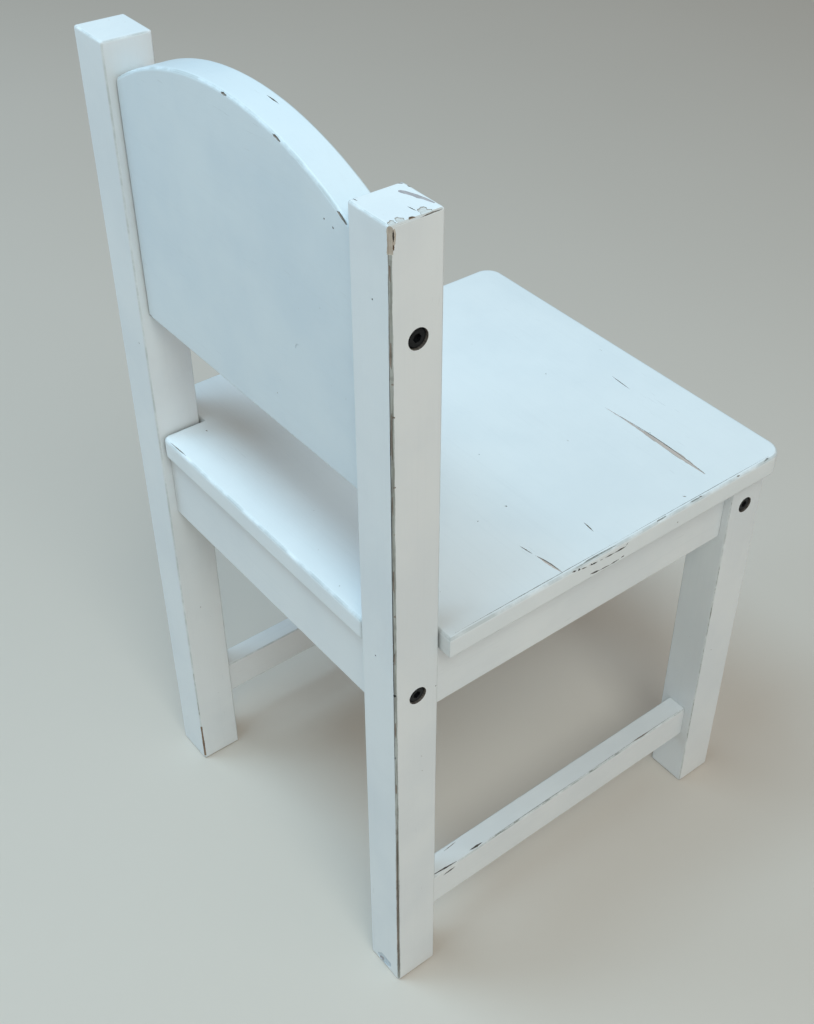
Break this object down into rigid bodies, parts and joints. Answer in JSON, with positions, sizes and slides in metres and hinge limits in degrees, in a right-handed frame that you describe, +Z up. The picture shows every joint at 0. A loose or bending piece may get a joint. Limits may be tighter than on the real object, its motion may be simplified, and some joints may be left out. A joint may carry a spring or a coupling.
{
  "type": "painted wooden children's chair",
  "caption": "Small wooden chair for a child, white paint worn and peeling, with an arched back panel, square posts, a notched seat board and side stretchers.",
  "frame": {"origin": "centre of the overall box at floor level, under the feet", "axes": "+Z up; the sitter faces -Y; the sitter's left is +X"},
  "size_m": [0.276, 0.29, 0.54],
  "materials": {
    "white_paint": "satin white paint, worn through to grey-brown wood along edges and corners",
    "seat_paint": "satin white paint with long peeled cracks along the grain showing bare wood",
    "back_paint": "satin cool white paint with faint brush marks and small scuffs",
    "black_steel": "black coated steel, satin",
    "zinc_steel": "zinc plated steel",
    "bare_beech": "plain unpainted hardwood"
  },
  "bodies": {
    "root": {"rear_post_left": "white_paint", "front_leg_left": "white_paint", "side_apron_left": "white_paint", "side_stretcher_left": "white_paint", "rear_post_right": "white_paint", "front_leg_right": "white_paint", "side_apron_right": "white_paint", "side_stretcher_right": "white_paint", "rear_apron": "white_paint", "front_apron": "white_paint", "seat_board": "seat_paint", "back_panel": "back_paint", "back_bolt_left": "black_steel", "rear_bolt_left": "black_steel", "front_bolt_left": "black_steel", "back_insert_left": "zinc_steel", "rear_insert_left": "zinc_steel", "front_insert_left": "zinc_steel", "back_bolt_right": "black_steel", "rear_bolt_right": "black_steel", "front_bolt_right": "black_steel", "back_insert_right": "zinc_steel", "rear_insert_right": "zinc_steel", "front_insert_right": "zinc_steel", "apron_dowel_rear_lower_left": "bare_beech", "apron_dowel_rear_upper_left": "bare_beech", "apron_dowel_front_lower_left": "bare_beech", "apron_dowel_front_upper_left": "bare_beech", "stretcher_dowel_rear_lower_left": "bare_beech", "stretcher_dowel_rear_upper_left": "bare_beech", "stretcher_dowel_front_lower_left": "bare_beech", "stretcher_dowel_front_upper_left": "bare_beech", "apron_dowel_rear_lower_right": "bare_beech", "apron_dowel_rear_upper_right": "bare_beech", "apron_dowel_front_lower_right": "bare_beech", "apron_dowel_front_upper_right": "bare_beech", "stretcher_dowel_rear_lower_right": "bare_beech", "stretcher_dowel_rear_upper_right": "bare_beech", "stretcher_dowel_front_lower_right": "bare_beech", "stretcher_dowel_front_upper_right": "bare_beech", "back_panel_dowel_left": "bare_beech", "rear_apron_dowel_left": "bare_beech", "front_apron_dowel_left": "bare_beech", "back_panel_dowel_right": "bare_beech", "rear_apron_dowel_right": "bare_beech", "front_apron_dowel_right": "bare_beech", "seat_screw_rear_left": "zinc_steel", "seat_screw_front_left": "zinc_steel", "seat_screw_rear_right": "zinc_steel", "seat_screw_front_right": "zinc_steel"}
  },
  "joints": []
}
